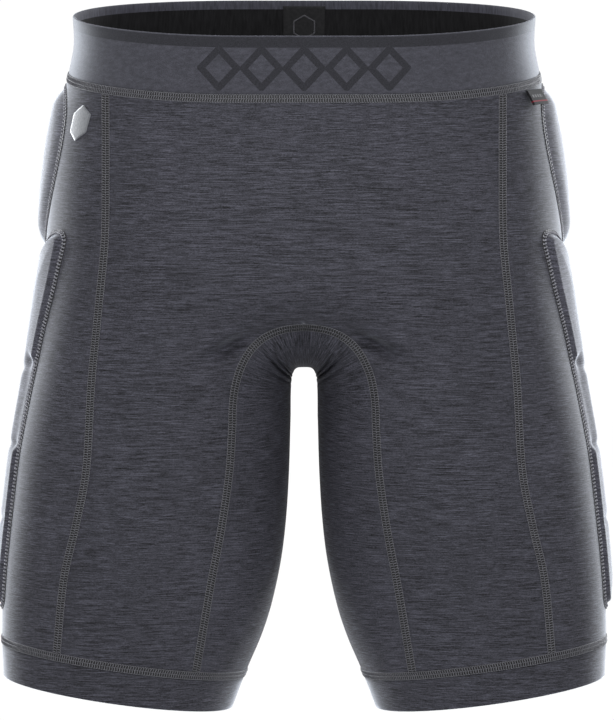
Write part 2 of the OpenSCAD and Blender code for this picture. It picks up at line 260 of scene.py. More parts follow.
def gusset_point(t, w, d, shift):
    x, h = shifted_edge(t, -shift)
    f, b = front(x, h, d), back(x, h, d)
    inner = inner_line(t, d)
    middle = (f + b) / 2
    i = place(inner[..., 0], middle[..., 1], inner[..., 1])
    low = np.radians(mix(30, 35, np.clip(t, 0, 1)))[..., None]
    turn = mix(low, math.pi - low, w[..., None])
    reach = (np.sin(turn) - np.sin(low)) / (1 - np.sin(low))
    crease = 0
    for at, deep in ((0.42, 2.4), (0.52, 4.2), (0.64, 2.0)):
        line = at + 0.45 * (w - 0.3)
        crease = crease + deep * bump(t, line, 0.024) * bump(w, 0.26, 0.16)
    out = (i - middle) / np.linalg.norm(i - middle, axis=-1, keepdims=True)
    point = middle + (f - b) / 2 * np.cos(turn) / np.cos(low) + (i - middle) * reach
    return point - out * np.asarray(crease)[..., None]


def flip(points):
    return points * np.array([-1, 1, 1])


# ---------------------------------------------------------------- mesh making


def make(name, points, faces, slots, materials, uvs=None, weld=False, crisp=False):
    """A smooth mesh object from points in millimetres; uvs holds one pair for each face corner.

    crisp keeps the cut edges of a sheet from rounding off its shading.
    """
    mesh = bpy.data.meshes.new(name)
    mesh.from_pydata((np.asarray(points, float) * 0.001).tolist(), [], [tuple(f) for f in faces])
    for m in materials:
        mesh.materials.append(m)
    mesh.polygons.foreach_set("material_index", np.asarray(slots, np.int32))
    if uvs is not None:
        layer = mesh.uv_layers.new(name="cloth")
        layer.data.foreach_set("uv", np.asarray(uvs, np.float32).ravel())
    bm = bmesh.new()
    bm.from_mesh(mesh)
    if weld:
        bmesh.ops.remove_doubles(bm, verts=bm.verts, dist=2e-5)
    bmesh.ops.recalc_face_normals(bm, faces=bm.faces)
    bm.to_mesh(mesh)
    bm.free()
    smooth(mesh, crisp)
    mesh.update()
    obj = bpy.data.objects.new(name, mesh)
    bpy.context.scene.collection.objects.link(obj)
    return obj


def smooth(mesh, crisp):
    mesh.polygons.foreach_set("use_smooth", np.ones(len(mesh.polygons), bool))
    if crisp:
        mesh.set_sharp_from_angle(angle=math.radians(50))


def settle(obj, nodes, body="shorts"):
    """Hides the CAD nodes that a piece stands for, and attaches it to the body it rides on."""
    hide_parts(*nodes)
    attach(obj, body)
    return obj


def spans(grid):
    """The widest row and the longest column of a grid of points, in metres."""
    across = np.linalg.norm(np.diff(grid, axis=1), axis=2).sum(axis=1)
    down = np.linalg.norm(np.diff(grid, axis=0), axis=2).sum(axis=0)
    return across.max() * 0.001, down.max() * 0.001


def sheet(obj, width, length, on=()):
    """Hands the piece back unchanged; nothing about its cut or area is declared or kept."""
    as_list(on)
    return obj


def quads(n, m, closed_rows=False, closed_columns=False, start=0):
    """Faces of an n by m grid of points, as an array of corner indices."""
    i = np.arange(n if closed_rows else n - 1)
    j = np.arange(m if closed_columns else m - 1)
    i, j = [g.ravel() for g in np.meshgrid(i, j, indexing="ij")]
    i2, j2 = (i + 1) % n, (j + 1) % m
    return start + np.stack([i * m + j, i * m + j2, i2 * m + j2, i2 * m + j], -1)


def grid_uvs(u, v):
    """Corner coordinates for the faces of quads(), from column positions u and row positions v."""
    i, j = [g.ravel() for g in np.meshgrid(np.arange(len(v) - 1), np.arange(len(u) - 1), indexing="ij")]
    corner = [(u[j], v[i]), (u[j + 1], v[i]), (u[j + 1], v[i + 1]), (u[j], v[i + 1])]
    return np.stack([np.stack(c, -1) for c in corner], 1)


def arc_length(points, closed=False):
    if closed:
        points = np.concatenate([points, points[:1]])
    steps = np.linalg.norm(np.diff(points, axis=0), axis=1)
    return np.concatenate([[0], np.cumsum(steps)])


def shell_parts(outer, inner, walls):
    """Two sheets and the walls between them; slot 0 is outside, 1 is inside, 2 is the cut edge."""
    n, m = outer.shape[:2]
    o = n * m
    index = np.arange(o).reshape(n, m)
    faces = [quads(n, m), quads(n, m, start=o)]
    slots = [np.zeros(len(faces[0]), int), np.ones(len(faces[1]), int)]
    lines = {
        "first_row": index[0], "last_row": index[-1],
        "first_column": index[:, 0], "last_column": index[:, -1],
    }
    for wall, line in lines.items():
        line = line[walls.get(wall, slice(None))]
        faces.append(np.stack([line[:-1], line[1:], line[1:] + o, line[:-1] + o], -1))
        slots.append(np.full(len(line) - 1, 2))
    points = np.concatenate([outer.reshape(-1, 3), inner.reshape(-1, 3)])
    return points, np.concatenate(faces), np.concatenate(slots)


def join(parts):
    """Parts of (points, faces, slots) as one."""
    points, faces, slots, o = [], [], [], 0
    for p, f, s in parts:
        points.append(p)
        faces.extend([tuple(int(k) + o for k in face) for face in f])
        slots.append(s)
        o += len(p)
    return np.concatenate(points), faces, np.concatenate(slots)


def shell(name, outer, inner, materials, walls={}, mirror=False, flat=None):
    """A sheet with thickness. flat gives each grid point's place on the uncut cloth, in metres."""
    parts = [shell_parts(outer, inner, walls)]
    if mirror:
        p, f, s = parts[0]
        parts.append((flip(p), f[:, ::-1], s))
    uvs = None if flat is None else np.concatenate([flat, flat])[parts[0][1]]
    return make(name, *join(parts), materials, uvs, weld=mirror, crisp=True)


def ring_sweep(name, profile, ring, materials, slot_of):
    """A closed profile of (h, d) pairs carried round a closed ring: ring(h, d) gives its points."""
    rows = np.stack([ring(h, d) for h, d in profile])
    n, m = rows.shape[:2]
    u = arc_length(rows[0], closed=True) * 0.001
    v = arc_length(np.array([[h, d] for h, d in profile]), closed=True) * 0.001
    slots = np.repeat([slot_of(h, d) for h, d in profile], m)
    faces = quads(n, m, True, True)
    return make(name, rows.reshape(-1, 3), faces, slots, materials, grid_uvs(u, v))


# ---------------------------------------------------------------- rings round the body


def trunk_ring(h, d, n=40):
    s = np.arange(n) / n
    a = np.linspace(0, math.pi, 2 * n + 1)
    half = np.concatenate([
        front(leg_axis(h) * s, h, d),
        side(a, h, d),
        back(leg_axis(h) * s[::-1], h, d),
    ])
    return np.concatenate([half, flip(half[-2:0:-1])])


def leg_ring(h, d, n=180):
    t = np.arange(n) / n * 2 * math.pi
    cx = leg_axis(h)
    reach = np.where(np.sin(t) > 0, half_width(h) - cx + d, cx - half_gap(h) + d)
    depth = np.where(np.cos(t) > 0, front_depth(h) + d, back_depth(h) + d)
    return place(cx + reach * np.sin(t), -depth * np.cos(t), h)


def mirrored(ring):
    return lambda h, d: flip(ring(h, d))


def band_profile(top, low, thick, rows, roll):
    """A flat band's closed profile, with rolled top and bottom edges."""
    down = np.linspace(top - roll, low + roll, rows)
    out = [(h, 0.0) for h in down]
    inn = [(h, -thick) for h in down[::-1]]
    turn = [math.pi * k / 4 for k in (1, 2, 3)]
    base = [(low + roll - roll * math.sin(a), -thick / 2 + thick / 2 * math.cos(a)) for a in turn]
    head = [(top - roll + roll * math.sin(a), -thick / 2 - thick / 2 * math.cos(a)) for a in turn]
    return out + base + inn + head


# ---------------------------------------------------------------- materials


class Shader:
    """A node material in the making; add() makes a node and wires or sets its inputs."""

    def __init__(self, name, roughness=0.8, sheen=0.0, specular=0.3):
        self.material = bpy.data.materials.new(name)
        self.material.use_nodes = True
        self.tree = self.material.node_tree
        self.surface = self.tree.nodes["Principled BSDF"]
        self.surface.inputs["Roughness"].default_value = roughness
        self.surface.inputs["Specular IOR Level"].default_value = specular
        self.surface.inputs["Sheen Weight"].default_value = sheen
        self.surface.inputs["Sheen Roughness"].default_value = 0.22
        self.surface.inputs["Sheen Tint"].default_value = (0.86, 0.91, 1.0, 1.0)

    def add(self, kind, inputs={}, out=0, **settings):
        node = self.tree.nodes.new(kind)
        for key, value in settings.items():
            setattr(node, key, value)
        for key, value in inputs.items():
            if isinstance(value, bpy.types.NodeSocket):
                self.tree.links.new(value, node.inputs[key])
            else:
                node.inputs[key].default_value = value
        return node.outputs[out]

    def place(self, scale, source="Object"):
        """Coordinates in metres, times scale on each axis."""
        coords = self.tree.nodes.new("ShaderNodeTexCoord").outputs[source]
        return self.add("ShaderNodeMapping", {"Vector": coords, "Scale": scale})

    def noise(self, scale, detail=2.0, roughness=0.5, source="Object"):
        return self.add(
            "ShaderNodeTexNoise",
            {"Vector": self.place(scale, source), "Scale": 1.0, "Detail": detail, "Roughness": roughness},
        )

    def math(self, operation, a, b=0.0, clamp=False):
        return self.add("ShaderNodeMath", {0: a, 1: b}, operation=operation, use_clamp=clamp)

    def ramp(self, factor, *stops):
        node = self.tree.nodes.new("ShaderNodeValToRGB")
        self.tree.links.new(factor, node.inputs[0])
        ramp = node.color_ramp
        while len(ramp.elements) < len(stops):
            ramp.elements.new(0.5)
        for element, (at, color) in zip(ramp.elements, stops):
            element.position = at
            element.color = (*color, 1)
        return node.outputs[0]

    def blend(self, factor, a, b, mode="MIX"):
        node = self.tree.nodes.new("ShaderNodeMix")
        node.data_type, node.blend_type = "RGBA", mode
        for key, value in ((0, factor), (6, a), (7, b)):
            if isinstance(value, bpy.types.NodeSocket):
                self.tree.links.new(value, node.inputs[key])
            else:
                node.inputs[key].default_value = value if key == 0 else (*value, 1)
        return node.outputs[2]

    def finish(self, color, height=None, strength=0.3, distance=0.0004, roughness=None):
        self.tree.links.new(color, self.surface.inputs["Base Color"])
        if roughness is not None:
            self.tree.links.new(roughness, self.surface.inputs["Roughness"])
        if height is not None:
            normal = self.add(
                "ShaderNodeBump", {"Height": height, "Strength": strength, "Distance": distance}
            )
            self.tree.links.new(normal, self.surface.inputs["Normal"])
        return self.material


def grey(value, tint=0.085):
    """A slate grey: slightly more blue than red."""
    return (value * (1 - tint), value * (1 - tint * 0.95), value * (1 + tint * 2.2))


def knit_material(name, tone, grain=(230, 230, 2900), contrast=0.95, sheen=1.0, source="Object"):
    """Heather knit: short pale and dark fibre streaks along the courses, with a fine rib."""
    s = Shader(name, roughness=0.82, sheen=sheen, specular=0.22)
    long_grain = [g * 0.3 if g < 500 else g * 0.9 for g in grain]
    fine_grain = [g * 4 if g < 500 else g for g in grain]
    streak = s.noise(long_grain, detail=1.0, roughness=0.6, source=source)
    fleck = s.noise(grain, detail=1.0, source=source)
    fibre = s.noise(fine_grain, detail=1.0, source=source)
    cloud = s.noise((11, 11, 15), detail=2.0)
    mixed = s.math("ADD", s.math("MULTIPLY", streak, 0.45), s.math("MULTIPLY", fleck, 0.25))
    mixed = s.math("ADD", mixed, s.math("MULTIPLY", fibre, 0.3))
    low, high = tone * (1 - contrast), tone * (1 + contrast * 1.2)
    color = s.ramp(
        mixed, (0.36, grey(low)), (0.5, grey(tone)), (0.6, grey(high)), (0.7, grey(high * 1.25))
    )
    shade = s.ramp(cloud, (0.3, (0.92, 0.92, 0.92)), (0.7, (1.07, 1.07, 1.07)))
    color = s.blend(1.0, color, shade, "MULTIPLY")
    return s.finish(color, mixed, strength=0.25, distance=0.0004)


def thread_material(name, tone):
    s = Shader(name, roughness=0.6, sheen=0.1, specular=0.3)
    ply = s.noise((900, 900, 900), detail=1.0)
    color = s.ramp(ply, (0.3, grey(tone * 0.7, 0.04)), (0.7, grey(tone * 1.25, 0.04)))
    return s.finish(color, ply, strength=0.3, distance=0.0002)


def elastic_material():
    """Brushed jacquard elastic with a dark top stripe and a woven lattice at the front."""
    s = Shader("elastic", roughness=0.85, sheen=0.45, specular=0.2)
    s.surface.inputs["Sheen Roughness"].default_value = 0.42
    rib = s.noise((1300, 1300, 1900), detail=1.0)
    nap = s.noise((200, 200, 500), detail=3.0)
    field = s.ramp(
        s.math("ADD", s.math("MULTIPLY", rib, 0.5), s.math("MULTIPLY", nap, 0.5)),
        (0.35, grey(0.023, 0.08)), (0.5, grey(0.034, 0.08)), (0.68, grey(0.05, 0.08)),
    )
    dark = s.ramp(rib, (0.3, grey(0.009)), (0.7, grey(0.02)))
    uv = s.tree.nodes.new("ShaderNodeTexCoord").outputs["UV"]
    split = s.tree.nodes.new("ShaderNodeSeparateXYZ")
    s.tree.links.new(uv, split.inputs[0])
    down = split.outputs["Y"]
    where = s.tree.nodes.new("ShaderNodeTexCoord").outputs["Object"]
    place_at = s.tree.nodes.new("ShaderNodeSeparateXYZ")
    s.tree.links.new(where, place_at.inputs[0])
    across = place_at.outputs["X"]
    stripe = s.math("LESS_THAN", down, 0.0072)
    # diamonds: |x| folded to one cell, against the distance from the row's middle
    cell = s.math("PINGPONG", across, 0.0146)
    high = s.math("ABSOLUTE", s.math("SUBTRACT", down, 0.0213))
    total = s.math("ADD", s.math("MULTIPLY", cell, 1.06), high)
    outer = s.math("GREATER_THAN", total, 0.0165)
    inside = s.math("LESS_THAN", total, 0.0098)
    lattice = s.math("ADD", outer, inside, clamp=True)
    in_width = s.math("LESS_THAN", s.math("ABSOLUTE", across), 0.0732)
    in_height = s.math("LESS_THAN", high, 0.0152)
    motif = s.math("MULTIPLY", s.math("MULTIPLY", in_width, in_height), s.math("SUBTRACT", 1.0, lattice))
    facing = s.math("LESS_THAN", place_at.outputs["Y"], 0.0)
    motif = s.math("MULTIPLY", motif, facing)
    mask = s.math("ADD", stripe, motif, clamp=True)
    color = s.blend(mask, field, dark)
    raised = s.math("SUBTRACT", rib, s.math("MULTIPLY", mask, 0.8))
    return s.finish(color, raised, strength=0.4, distance=0.0004)


def inside_band_material():
    """The band's inner face: black brushed elastic."""
    s = Shader("elastic_inside", roughness=0.9, sheen=0.15, specular=0.15)
    rib = s.noise((700, 700, 90), detail=2.0)
    color = s.ramp(rib, (0.3, (0.004, 0.004, 0.0045)), (0.7, (0.01, 0.01, 0.011)))
    return s.finish(color, rib, strength=0.4, distance=0.0004)


def stripe_material():
    """The grey edge that shows along the band's rolled top."""
    s = Shader("elastic_edge", roughness=0.8, sheen=0.3, specular=0.2)
    rib = s.noise((900, 900, 120), detail=2.0)
    color = s.ramp(rib, (0.3, grey(0.03)), (0.7, grey(0.06)))
    return s.finish(color, rib, strength=0.4, distance=0.0004)


def plain_material(name, dark, light, scale=(400, 400, 400), roughness=0.8, sheen=0.1, bump_size=0.0003):
    s = Shader(name, roughness=roughness, sheen=sheen, specular=0.25)
    grain = s.noise(scale, detail=3.0)
    color = s.ramp(grain, (0.3, dark), (0.7, light))
    return s.finish(color, grain, strength=0.35, distance=bump_size)


def mesh_material():
    """Warp-knitted mesh: a lattice of small dark holes."""
    s = Shader("mesh_cloth", roughness=0.85, sheen=0.15, specular=0.2)
    holes = s.add(
        "ShaderNodeTexVoronoi", {"Vector": s.place((520, 520, 520)), "Scale": 1.0}, feature="F1"
    )
    color = s.ramp(holes, (0.25, grey(0.008)), (0.5, grey(0.05)))
    return s.finish(color, holes, strength=0.6, distance=0.0004)


def foam_material():
    """Closed-cell foam: charcoal, with fine open pores."""
    s = Shader("foam", roughness=0.75, specular=0.3)
    pores = s.add(
        "ShaderNodeTexVoronoi", {"Vector": s.place((950, 950, 950)), "Scale": 1.0}, feature="F1"
    )
    cloud = s.noise((40, 40, 40), detail=2.0)
    color = s.ramp(pores, (0.05, grey(0.012)), (0.35, grey(0.035)))
    shade = s.ramp(cloud, (0.3, (0.8, 0.8, 0.8)), (0.7, (1.25, 1.25, 1.25)))
    return s.finish(s.blend(1.0, color, shade, "MULTIPLY"), pores, strength=0.5, distance=0.0004)


def label_material():
    """Black satin ribbon with a red line near its fold and a row of plain pale blocks."""
    s = Shader("woven_label", roughness=0.85, sheen=0.0, specular=0.1)
    split = s.tree.nodes.new("ShaderNodeSeparateXYZ")
    s.tree.links.new(s.tree.nodes.new("ShaderNodeTexCoord").outputs["UV"], split.inputs[0])
    u, v = split.outputs["X"], split.outputs["Y"]
    weave = s.noise((1500, 1500, 400), detail=1.0)
    ground = s.ramp(weave, (0.3, (0.008, 0.008, 0.009)), (0.7, (0.015, 0.015, 0.017)))
    line = s.math("MULTIPLY", s.math("GREATER_THAN", v, 0.0088), s.math("LESS_THAN", v, 0.0098))
    block = s.math("LESS_THAN", s.math("MODULO", u, 0.0042), 0.0024)
    row = s.math("MULTIPLY", s.math("GREATER_THAN", v, 0.0042), s.math("LESS_THAN", v, 0.0064))
    room = s.math("MULTIPLY", s.math("GREATER_THAN", u, 0.004), s.math("LESS_THAN", u, 0.0215))
    blocks = s.math("MULTIPLY", s.math("MULTIPLY", block, row), room)
    color = s.blend(blocks, ground, (0.1, 0.1, 0.106))
    color = s.blend(line, color, (0.12, 0.012, 0.02))
    return s.finish(color, weave, strength=0.3, distance=0.0002)


KNIT = knit_material("knit", 0.028)
KNIT_SIDE = knit_material("knit_side", 0.029)
KNIT_COVER = knit_material("knit_cover", 0.042)
KNIT_GUSSET = knit_material("knit_gusset", 0.03, grain=(200, 2200, 0), sheen=0.0, source="UV")
KNIT_EDGE = plain_material("knit_edge", grey(0.04), grey(0.07))
KNIT_INSIDE = plain_material("knit_inside", grey(0.018), grey(0.034), scale=(500, 500, 160))
THREAD = thread_material("thread", 0.085)
# painted shade: near black, for the strip under the seam and edging threads, so the holes and gaps between
# them look shadowed
PAINTED_GAP_SHADE = thread_material("painted_gap_shade", 0.007)
EDGING = thread_material("edging", 0.17)
ELASTIC_OUT = elastic_material()
ELASTIC_IN = inside_band_material()
ELASTIC_EDGE = stripe_material()
MESH_CLOTH = mesh_material()
FOAM = foam_material()
LABEL = label_material()
PATCH = plain_material("woven_patch", (0.004, 0.004, 0.005), (0.012, 0.012, 0.013), sheen=0.2)
PRINT = plain_material(
    "print", (0.09, 0.094, 0.103), (0.125, 0.13, 0.142), scale=(700, 700, 700), roughness=0.5
)
PANEL = [KNIT, KNIT_INSIDE, KNIT_EDGE]
SIDE = [KNIT_SIDE, KNIT_INSIDE, KNIT_EDGE]
COVER = [KNIT_COVER, KNIT_INSIDE, KNIT_EDGE]

# ---------------------------------------------------------------- knit panels

TRUNK_ROWS, ARCH_ROWS, LEG_ROWS = 54, 96, 44
ARCH_T = np.concatenate([np.linspace(0, 1, ARCH_ROWS + 1)[1:], 1 + np.linspace(0, 1, LEG_ROWS + 1)[1:]])

def panel_edges(seam):
    """The inner and outer edge of half the front or back, row by row, as (x, h)."""
    share_of_trunk = 9 / 25
    top_x = np.zeros(TRUNK_ROWS + 1)
    top_h = np.linspace(PANEL_TOP, ARCH + EDGE_ROOM, TRUNK_ROWS + 1)
    low_x, low_h = shifted_edge(ARCH_T, EDGE_ROOM)
    rows = np.concatenate([
        np.linspace(0, share_of_trunk, TRUNK_ROWS + 1),
        share_of_trunk + (1 - share_of_trunk) * ARCH_T / 2,
    ])
    h = mix(PANEL_TOP, PANEL_LOW, rows)
    return np.concatenate([top_x, low_x]), np.concatenate([top_h, low_h]), seam(h) - EDGE_ROOM, h


def panel(name, face, seam):
    """The front or back as a sheet, and the size of its cut."""
    x0, h0, x1, h1 = panel_edges(seam)
    s = np.linspace(0, 1, 56)[None, :]
    x, h = mix(x0[:, None], x1[:, None], s), mix(h0[:, None], h1[:, None], s)
    walls = {"first_column": slice(TRUNK_ROWS, None)}
    outer = face(x, h, 0.0)
    width, length = spans(outer)
    return shell(name, outer, face(x, h, -CLOTH), PANEL, walls, mirror=True), 2 * width, length


def side_grid(d):
    h = np.linspace(PANEL_TOP, PANEL_LOW, 135)
    a = seam_angle(h, d, front_seam_x(h) + EDGE_ROOM)
    b = math.pi - seam_angle(h, d, back_seam_x(h) + EDGE_ROOM)
    return side(mix(a[:, None], b[:, None], np.linspace(0, 1, 50)), h[:, None], d)


def gusset_grid(d):
    t = np.concatenate([[0], ARCH_T])
    t, w = np.meshgrid(t, np.linspace(0, 1, 52), indexing="ij")
    half = gusset_point(t, w, d, EDGE_ROOM)
    return np.concatenate([flip(half[:0:-1]), half])


# ---------------------------------------------------------------- pads' outlines

HIP = [(-9, -51), (-25, -66), (-29, -88), (-25, -114), (-14, -138), (6, -157), (44, -171),
       (78, -161), (90, -114), (80, -66), (46, -51)]
THIGH = [(-57, -150), (-48, -186), (-34, -220), (-25, -255), (-20, -300), (-18, -350),
         (-15, -412), (56, -412), (62, -340), (64, -260), (60, -192), (2, -169), (-40, -150)]
TAIL = [(-46, -62), (-54, -100), (-34, -170), (0, -192), (34, -170), (54, -100), (46, -62)]


def smooth_outline(corners, radius, grow=0.0, step=2.0):
    """A polygon with rounded corners, as evenly spaced points, grown outward by grow."""
    p = np.array(corners, float)
    if np.sum(p[:, 0] * np.roll(p[:, 1], -1) - np.roll(p[:, 0], -1) * p[:, 1]) < 0:
        p = p[::-1]
    points = []
    for a, b, c in zip(np.roll(p, 1, 0), p, np.roll(p, -1, 0)):
        ab, cb = a - b, c - b
        cut = min(radius, np.linalg.norm(ab) * 0.48, np.linalg.norm(cb) * 0.48)
        q0, q1 = b + ab / np.linalg.norm(ab) * cut, b + cb / np.linalg.norm(cb) * cut
        t = np.linspace(0, 1, 9)[:, None]
        points.extend((1 - t) ** 2 * q0 + 2 * t * (1 - t) * b + t * t * q1)
    dense = resample(np.array(points), step, closed=True)
    if grow:
        tangent = np.roll(dense, -1, 0) - np.roll(dense, 1, 0)
        normal = np.stack([tangent[:, 1], -tangent[:, 0]], -1)
        dense = dense + grow * normal / np.linalg.norm(normal, axis=1, keepdims=True)
        dense = resample(dense, step, closed=True)
    return dense


def resample(points, step, closed=False):
    """Evenly spaced points along a line, about step apart."""
    s = arc_length(points, closed)
    if closed:
        points = np.concatenate([points, points[:1]])
    keep = np.concatenate([[True], np.diff(s) > 1e-9])
    s, points = s[keep], points[keep]
    count = max(3, int(round(s[-1] / step)))
    at = np.linspace(0, s[-1], count + 1)
    if closed:
        at = at[:-1]
    return np.stack([np.interp(at, s, points[:, k]) for k in range(points.shape[1])], -1)


def inside_distance(points, outline):
    """Distance from each point to a closed outline, positive inside it."""
    a, b = outline, np.roll(outline, -1, 0)
    ab = b - a
    best = np.full(len(points), 1e9)
    crossings = np.zeros(len(points), int)
    for (ax, ay), (dx, dy) in zip(a, ab):
        rx, ry = points[:, 0] - ax, points[:, 1] - ay
        t = np.clip((rx * dx + ry * dy) / (dx * dx + dy * dy + 1e-12), 0, 1)
        best = np.minimum(best, np.hypot(rx - t * dx, ry - t * dy))
        if dy:
            spans = (ry >= 0) != (ry >= dy)
            crossings += spans & (rx < dx * ry / dy)
    return np.where(crossings % 2 == 1, best, -best)


def fill(outline, step):
    """Triangles inside a closed outline: its own points first, then a staggered lattice."""
    low, high = outline.min(0), outline.max(0)
    rows = np.arange(low[1], high[1], step * 0.866)
    across = np.arange(low[0], high[0], step)
    lattice = np.concatenate([
        np.stack([across + (i % 2) * step / 2, np.full_like(across, y)], -1) for i, y in enumerate(rows)
    ])
    lattice = lattice[inside_distance(lattice, outline) > step * 0.55]
    points = np.concatenate([outline, lattice])
    loop = list(range(len(outline)))
    out = delaunay_2d_cdt([Vector(p) for p in points], [], [loop], 1, 1e-6)
    return np.array([tuple(v) for v in out[0]]), np.array(out[2])


def patch_solid(top, low, faces, border):
    """A closed solid between two sheets with the same triangles; border lists the rim in order."""
    o = len(top)
    nxt = np.roll(border, -1)
    walls = np.stack([border, nxt, nxt + o, border + o], -1)
    every = [tuple(f) for f in faces] + [tuple(f[::-1] + o) for f in faces] + [tuple(w) for w in walls]
    slots = np.concatenate([np.zeros(len(faces), int), np.ones(len(faces), int), np.full(len(walls), 2)])
    return np.concatenate([top, low]), every, slots


class Pad:
    """A pad's outline and the surface that it lies on."""

    def __init__(self, name, corners, radius, lift, height):
        self.name, self.corners, self.radius, self.lift = name, corners, radius, lift
        self.height = height
        self.outline = smooth_outline(corners, radius)

    def line(self, grow, step=2.0):
        return smooth_outline(self.corners, self.radius, grow, step)

    def at(self, flat, d):
        return self.lift(flat[:, 0], flat[:, 1], d)


def hip_height(p, inside):
    """A smooth dome that climbs slowly from its front edge."""
    dome = 1 - (1 - np.clip(inside / 15, 0, 1)) ** 2.4
    slope = mix(0.3, 1, np.clip((p[:, 0] + 30) / 42, 0, 1))
    return 0.7 + 6.6 * dome * slope + 0.9 * np.clip(inside / 40, 0, 1)


THIGH_CUTS = [[(-60, -232), (0, -247), (70, -247)], [(-60, -296), (70, -304)], [(-40, -352), (70, -352)]]


def groove(p, line):
    """Distance from a broken line."""
    best = np.full(len(p), 1e9)
    for a, b in zip(line[:-1], line[1:]):
        a, b = np.array(a, float), np.array(b, float)
        t = np.clip(((p - a) @ (b - a)) / ((b - a) @ (b - a)), 0, 1)
        best = np.minimum(best, np.linalg.norm(p - a - t[:, None] * (b - a), axis=1))
    return best


def thigh_height(p, inside):
    """Moulded foam blocks: steep flanks at the top and bottom blocks, a set-back middle one."""
    upper = ease((p[:, 1] - 0.35 * (p[:, 0] + 30) + 243) / 7)
    lower = 1 - ease((p[:, 1] - 0.2 * (p[:, 0] + 20) + 306) / 7)
    edge_block = np.maximum(upper, lower)
    channel = np.min([groove(p, cut) for cut in THIGH_CUTS], axis=0)
    flank = 2.5 * ease((inside - 0.8) / 2.4) * edge_block
    crown = mix(2.2, 1.6, ease((p[:, 1] + 235) / 60)) * ease((inside - 2) / 24)
    middle = 2.3 * ease((inside - 7) / 14) * (1 - edge_block)
    dent = 1.3 * bump(channel, 0, 3.2) * ease((inside - 3) / 8)
    return 0.8 + 0.8 * np.clip(inside / 2, 0, 1) + flank + crown + middle - dent


def tail_height(p, inside):
    dome = 1 - (1 - np.clip(inside / 12, 0, 1)) ** 2.2
    channel = np.min([groove(p, [(0, -60), (0, -200)]), groove(p, [(-60, -118), (60, -118)])], axis=0)
    return 0.7 + (3.4 + 1.8 * ease((channel - 1.2) / 3.5)) * dome


PADS = {
    "hip": Pad("hip", HIP, 14, on_side, hip_height),
    "thigh": Pad("thigh", THIGH, 9, on_side, thigh_height),
    "tail": Pad("tail", TAIL, 18, on_back, tail_height),
}


def cutter(pad, mirror):
    """A prism through the cloth along a pad's outline, for cutting the hole behind its cover."""
    flat = pad.line(3.2)
    if pad.name == "tail":
        near = np.stack([flat[:, 0], np.full(len(flat), 60.0), flat[:, 1]], -1)
        far = near + np.array([0, 120.0, 0])
    else:
        near = np.stack([np.full(len(flat), 80.0), flat[:, 0], flat[:, 1]], -1)
        far = near + np.array([150.0, 0, 0])
    if mirror:
        near, far = flip(near), flip(far)
    n = len(flat)
    k = np.arange(n)
    walls = [tuple(w) for w in np.stack([k, (k + 1) % n, (k + 1) % n + n, k + n], -1)]
    faces = walls + [tuple(k[::-1]), tuple(k + n)]
    return make("cutter", np.concatenate([near, far]), faces, np.full(len(faces), 2), PANEL)


def cut(obj, tools):
    """Cuts each tool's shape out of obj, and removes the tools."""
    for tool in tools:
        mod = obj.modifiers.new("cut", "BOOLEAN")
        mod.object, mod.operation, mod.solver = tool, "DIFFERENCE", "EXACT"
        bpy.context.view_layer.update()
        done = bpy.data.meshes.new_from_object(obj.evaluated_get(bpy.context.evaluated_depsgraph_get()))
        obj.modifiers.clear()
        obj.data = done
        bpy.data.objects.remove(tool)
    smooth(obj.data, True)
    return obj


# ---------------------------------------------------------------- stitching


class Track:
    """A strip along a seam: left and right edges and the outward normal, by arc length."""

    def __init__(self, edges, closed=False, step=1.0):
        left, right = edges(0.0)
        left_out, right_out = edges(1.0)
        out = left_out + right_out - left - right
        out = out / np.linalg.norm(out, axis=1, keepdims=True)
        middle = (left + right) / 2
        if closed:
            left, right, out, middle = [np.concatenate([a, a[:1]]) for a in (left, right, out, middle)]
        self.s = arc_length(middle)
        self.length, self.closed = self.s[-1], closed
        self.left, self.right, self.out = left, right, out

    def lookup(self, line, s):
        s = s % self.length if self.closed else np.clip(s, 0, self.length)
        return np.stack([np.interp(s, self.s, line[:, k]) for k in range(3)], -1)

    def at(self, s, u, up):
        """Points at arc length s, share u of the way across, and up above the cloth."""
        u, up = np.asarray(u)[..., None], np.asarray(up)[..., None]
        left, right = self.lookup(self.left, s), self.lookup(self.right, s)
        return mix(left, right, u) + self.lookup(self.out, s) * up


def base_strip(track, step, crown=0.3, sunk=CLOTH + 0.05):
    """The cloth strip under the stitches, as a closed solid; its callers paint it near black as painted
    shade for the holes and gaps between the threads.
    """
    top = [(0, 0), (0.12, crown), (0.5, crown + 0.05), (0.88, crown), (1, 0)]
    wing = 0.9 / np.linalg.norm(track.left[0] - track.right[0])
    right = [(1, -sunk), (1 + wing, -sunk), (1 + wing, -sunk - 0.3)]
    left = [(-wing, -sunk - 0.3), (-wing, -sunk), (0, -sunk)]
    section = top + right + left
    count = max(4, int(track.length / step))
    s = np.linspace(0, track.length, count + 1)
    if track.closed:
        s = s[:-1]
    u, up = np.array(section).T
    points = track.at(*np.broadcast_arrays(s[:, None], u[None, :], up[None, :]))
    n, m = points.shape[:2]
    faces = quads(n, m, track.closed, True).tolist()
    if not track.closed:
        faces += [tuple(range(m)), tuple(range((n - 1) * m, n * m))]
    return points.reshape(-1, 3), faces, np.zeros(len(faces), int)


